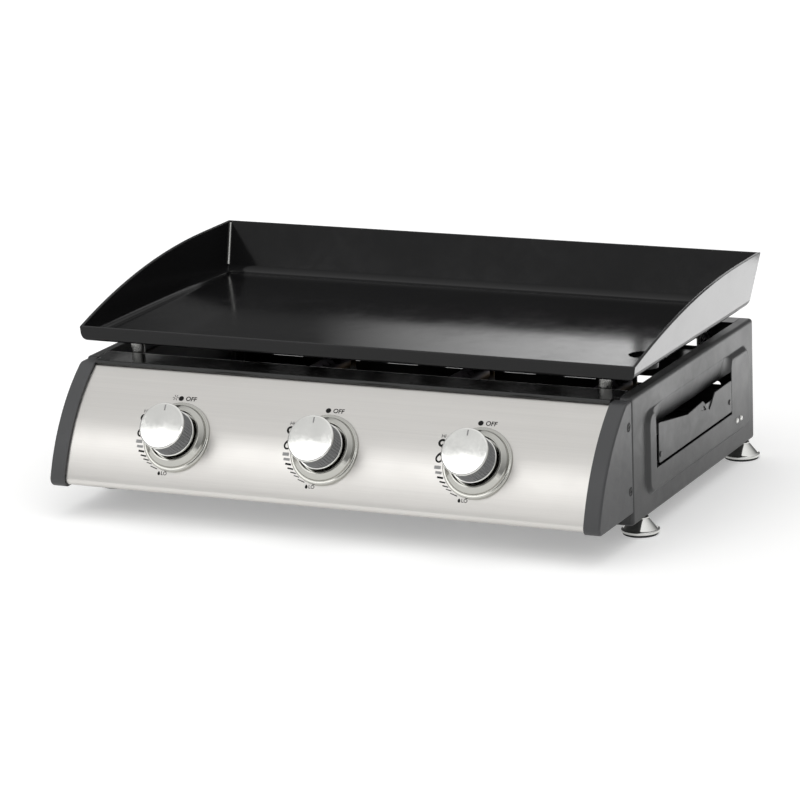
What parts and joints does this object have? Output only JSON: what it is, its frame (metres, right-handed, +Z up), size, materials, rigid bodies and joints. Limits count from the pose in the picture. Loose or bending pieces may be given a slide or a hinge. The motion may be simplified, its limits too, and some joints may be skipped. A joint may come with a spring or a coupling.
{
  "type": "table-top gas griddle",
  "caption": "Table-top gas griddle: enamelled plate with raised rim on posts over a low casing, curved control panel with turning knobs, tube burners, slide-out grease tray, conical feet.",
  "frame": {"origin": "on the table, under the middle of the outer box", "axes": "+X to the right of someone at the controls, +Y away from them, +Z up"},
  "size_m": [0.623, 0.4768, 0.218],
  "materials": {
    "griddle_enamel": "gloss enamel",
    "black_paint": "satin",
    "side_paint": "satin powder coat",
    "stainless": "brushed along the width",
    "cap_plastic": "fine texture",
    "black_screws": "black",
    "plated_steel": "zinc plated",
    "chrome": "polished",
    "foot_chrome": "polished",
    "grip_plastic": "ribbed",
    "foot_rubber": "matte",
    "gas_tube": "satin",
    "brass": "satin",
    "valve_alloy": "cast",
    "ceramic": "glazed",
    "spark_wire": "plain",
    "igniter_plastic": "matte",
    "lead_rubber": "matte"
  },
  "bodies": {
    "casing": {"base_pan": "black_paint", "rear_panel": "black_paint", "front_rail": "black_paint", "plate_shelves": "black_paint", "burner_front_wall": "black_paint", "tray_runners": "black_paint", "manifold_brackets": "black_paint", "right_side_panel": "side_paint", "left_side_panel": "side_paint", "control_panel": "stainless", "burner_left": "stainless", "burner_centre": "stainless", "burner_right": "stainless", "burner_rear_brackets": "stainless", "right_end_cap": "cap_plastic", "left_end_cap": "cap_plastic", "end_cap_screws": "black_screws", "rear_panel_screws": "plated_steel", "panel_rivets": "plated_steel", "foot_nuts": "plated_steel", "valve_covers": "plated_steel", "bezel_left": "chrome", "bezel_centre": "chrome", "bezel_right": "chrome", "foot_front_left": "foot_chrome", "foot_front_right": "foot_chrome", "foot_rear_left": "foot_chrome", "foot_rear_right": "foot_chrome", "foot_pads": "foot_rubber", "gas_manifold": "gas_tube", "gas_feed_pipe": "gas_tube", "gas_inlet": "brass", "inlet_locknut": "brass", "gas_jets": "brass", "valve_body_left": "valve_alloy", "valve_body_centre": "valve_alloy", "valve_body_right": "valve_alloy", "ignition_electrodes": "ceramic", "electrode_tips": "spark_wire", "igniters": "igniter_plastic", "ignition_leads": "lead_rubber"},
    "griddle": {"griddle_plate": "griddle_enamel", "griddle_posts": "plated_steel"},
    "tray": {"grease_tray": "black_paint", "grease_tray_front": "side_paint", "grease_tray_rivets": "black_screws"},
    "left_valve": {"valve_plug_left": "brass"},
    "left_knob": {"knob_left": "chrome", "knob_grip_left": "grip_plastic", "valve_stem_left": "brass"},
    "centre_valve": {"valve_plug_centre": "brass"},
    "centre_knob": {"knob_centre": "chrome", "knob_grip_centre": "grip_plastic", "valve_stem_centre": "brass"},
    "right_valve": {"valve_plug_right": "brass"},
    "right_knob": {"knob_right": "chrome", "knob_grip_right": "grip_plastic", "valve_stem_right": "brass"}
  },
  "joints": [
    {"name": "griddle_lift", "type": "slide", "parent": "casing", "child": "griddle", "axis": [0, 0, 1], "range_m": [0, 0.12]},
    {"name": "tray_slide", "type": "slide", "parent": "casing", "child": "tray", "axis": [1, 0, 0], "range_m": [0, 0.07]},
    {"name": "left_knob_turn", "type": "hinge", "parent": "casing", "child": "left_valve", "pos_m": [-0.1644, -0.19402, 0.08768], "axis": [0, -0.8434, 0.5373], "range_deg": [0, 160]},
    {"name": "left_knob_push", "type": "slide", "parent": "left_valve", "child": "left_knob", "axis": [0, 0.8434, -0.5373], "range_m": [0, 0.0035], "stiffness_N_per_m": 1500, "springref_m": -0.004},
    {"name": "centre_knob_turn", "type": "hinge", "parent": "casing", "child": "centre_valve", "pos_m": [0, -0.19402, 0.08768], "axis": [0, -0.8434, 0.5373], "range_deg": [0, 160]},
    {"name": "centre_knob_push", "type": "slide", "parent": "centre_valve", "child": "centre_knob", "axis": [0, 0.8434, -0.5373], "range_m": [0, 0.0035], "stiffness_N_per_m": 1500, "springref_m": -0.004},
    {"name": "right_knob_turn", "type": "hinge", "parent": "casing", "child": "right_valve", "pos_m": [0.1644, -0.19402, 0.08768], "axis": [0, -0.8434, 0.5373], "range_deg": [0, 160]},
    {"name": "right_knob_push", "type": "slide", "parent": "right_valve", "child": "right_knob", "axis": [0, 0.8434, -0.5373], "range_m": [0, 0.0035], "stiffness_N_per_m": 1500, "springref_m": -0.004}
  ]
}
